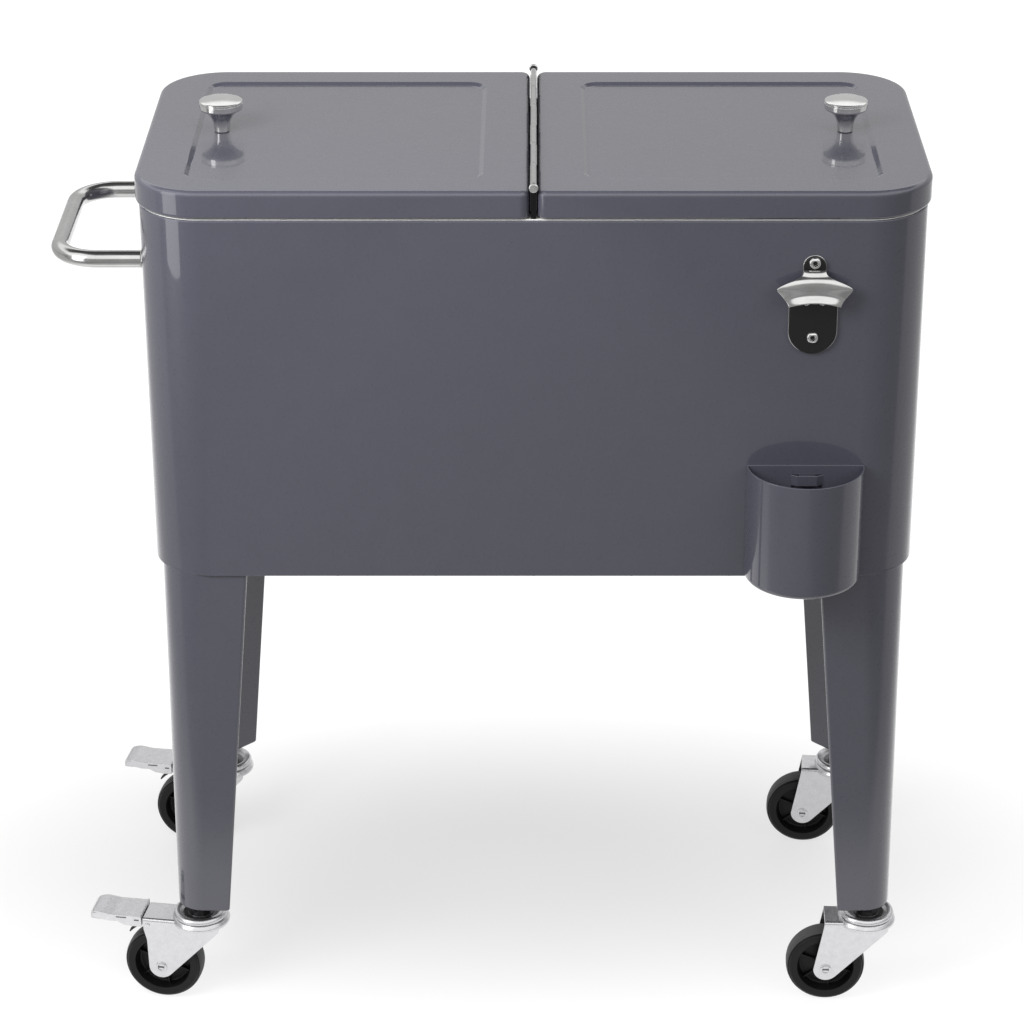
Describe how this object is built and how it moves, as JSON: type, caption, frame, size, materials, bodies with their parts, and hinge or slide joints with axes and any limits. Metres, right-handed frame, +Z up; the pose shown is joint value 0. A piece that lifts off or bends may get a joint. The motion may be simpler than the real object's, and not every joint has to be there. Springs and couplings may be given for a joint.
{
  "type": "cooler on wheels",
  "caption": "Insulated patio cooler box with centre-hinged lids, knobs, a tube handle, a wall bottle opener and a cap catcher, on tapered legs with swivel casters and brake pedals.",
  "frame": {"origin": "on the floor, at the middle of the whole object's box", "axes": "+X to the right of the front, towards the end without the handle; +Y to the rear; +Z up"},
  "size_m": [0.7966, 0.4094, 0.8728],
  "materials": {
    "body_paint": "gloss",
    "liner_white": "satin",
    "foam": "matte",
    "black_bar": "satin",
    "steel": "satin",
    "zinc": "satin",
    "chrome": "polished",
    "opener_black": "gloss",
    "rubber": "matte",
    "wheel_black": "satin"
  },
  "bodies": {
    "cart": {"outer_shell": "body_paint", "bottom_panel": "body_paint", "inner_liner": "liner_white", "insulation_foam": "foam", "drain_spout": "liner_white", "lid_support_bar": "black_bar", "hinge_pin": "steel", "handle_tube": "steel", "handle_flange_front": "steel", "handle_flange_rear": "steel", "handle_bolt_front": "zinc", "handle_bolt_rear": "zinc", "opener_plate": "opener_black", "opener_hood": "steel", "opener_screw_top": "chrome", "opener_screw_bottom": "chrome", "catcher_hook": "body_paint", "leg_front_left": "body_paint", "caster_stem_front_left": "zinc", "leg_rear_left": "body_paint", "caster_stem_rear_left": "zinc", "leg_front_right": "body_paint", "caster_stem_front_right": "zinc", "leg_rear_right": "body_paint", "caster_stem_rear_right": "zinc"},
    "left_lid": {"left_lid_shell": "body_paint", "left_lid_liner": "liner_white", "left_lid_foam": "foam", "left_lid_gasket": "rubber", "left_lid_knob": "chrome", "left_lid_knob_screw": "zinc", "left_lid_hinge_leaf": "steel"},
    "right_lid": {"right_lid_shell": "body_paint", "right_lid_liner": "liner_white", "right_lid_foam": "foam", "right_lid_gasket": "rubber", "right_lid_knob": "chrome", "right_lid_knob_screw": "zinc", "right_lid_hinge_leaf": "steel"},
    "cap_catcher": {"cap_catcher": "body_paint"},
    "drain_cap": {"drain_cap": "liner_white"},
    "caster_front_left": {"caster_fork_front_left": "zinc", "axle_front_left": "zinc", "brake_pivot_front_left": "zinc"},
    "wheel_front_left": {"wheel_front_left": "wheel_black"},
    "brake_front_left": {"brake_pedal_front_left": "zinc", "brake_shoe_front_left": "rubber"},
    "caster_rear_left": {"caster_fork_rear_left": "zinc", "axle_rear_left": "zinc", "brake_pivot_rear_left": "zinc"},
    "wheel_rear_left": {"wheel_rear_left": "wheel_black"},
    "brake_rear_left": {"brake_pedal_rear_left": "zinc", "brake_shoe_rear_left": "rubber"},
    "caster_front_right": {"caster_fork_front_right": "zinc", "axle_front_right": "zinc"},
    "wheel_front_right": {"wheel_front_right": "wheel_black"},
    "caster_rear_right": {"caster_fork_rear_right": "zinc", "axle_rear_right": "zinc"},
    "wheel_rear_right": {"wheel_rear_right": "wheel_black"}
  },
  "joints": [
    {"name": "left_lid_hinge", "type": "hinge", "parent": "cart", "child": "left_lid", "pos_m": [0.0433, 0.02163, 0.847], "axis": [0, 1, 0], "range_deg": [0, 165]},
    {"name": "right_lid_hinge", "type": "hinge", "parent": "cart", "child": "right_lid", "pos_m": [0.0433, 0.02163, 0.847], "axis": [0, 1, 0], "range_deg": [-165, 0]},
    {"name": "catcher_lift", "type": "slide", "parent": "cart", "child": "cap_catcher", "axis": [0, 0, 1], "range_m": [0, 0.0105]},
    {"name": "drain_cap_turn", "type": "hinge", "parent": "cart", "child": "drain_cap", "pos_m": [0.2433, 0.08163, 0.445], "axis": [0, 0, 1], "range_deg": [-360, 0]},
    {"name": "swivel_front_left", "type": "hinge", "parent": "cart", "child": "caster_front_left", "pos_m": [-0.2807, -0.12837, 0.092], "axis": [0, 0, 1], "continuous": true},
    {"name": "roll_front_left", "type": "hinge", "parent": "caster_front_left", "child": "wheel_front_left", "pos_m": [-0.31823, -0.12242, 0.038], "axis": [0.1564, 0.9877, 0], "continuous": true},
    {"name": "brake_press_front_left", "type": "hinge", "parent": "caster_front_left", "child": "brake_front_left", "pos_m": [-0.33008, -0.12055, 0.0845], "axis": [0.1564, 0.9877, 0], "range_deg": [-11, 0]},
    {"name": "swivel_rear_left", "type": "hinge", "parent": "cart", "child": "caster_rear_left", "pos_m": [-0.2807, 0.17163, 0.092], "axis": [0, 0, 1], "continuous": true},
    {"name": "roll_rear_left", "type": "hinge", "parent": "caster_rear_left", "child": "wheel_rear_left", "pos_m": [-0.31823, 0.17758, 0.038], "axis": [0.1564, 0.9877, 0], "continuous": true},
    {"name": "brake_press_rear_left", "type": "hinge", "parent": "caster_rear_left", "child": "brake_rear_left", "pos_m": [-0.33008, 0.17945, 0.0845], "axis": [0.1564, 0.9877, 0], "range_deg": [-11, 0]},
    {"name": "swivel_front_right", "type": "hinge", "parent": "cart", "child": "caster_front_right", "pos_m": [0.3673, -0.12837, 0.092], "axis": [0, 0, 1], "continuous": true},
    {"name": "roll_front_right", "type": "hinge", "parent": "caster_front_right", "child": "wheel_front_right", "pos_m": [0.32932, -0.12704, 0.038], "axis": [0.0349, 0.9994, 0], "continuous": true},
    {"name": "swivel_rear_right", "type": "hinge", "parent": "cart", "child": "caster_rear_right", "pos_m": [0.3673, 0.17163, 0.092], "axis": [0, 0, 1], "continuous": true},
    {"name": "roll_rear_right", "type": "hinge", "parent": "caster_rear_right", "child": "wheel_rear_right", "pos_m": [0.32945, 0.17494, 0.038], "axis": [0.0872, 0.9962, 0], "continuous": true}
  ]
}
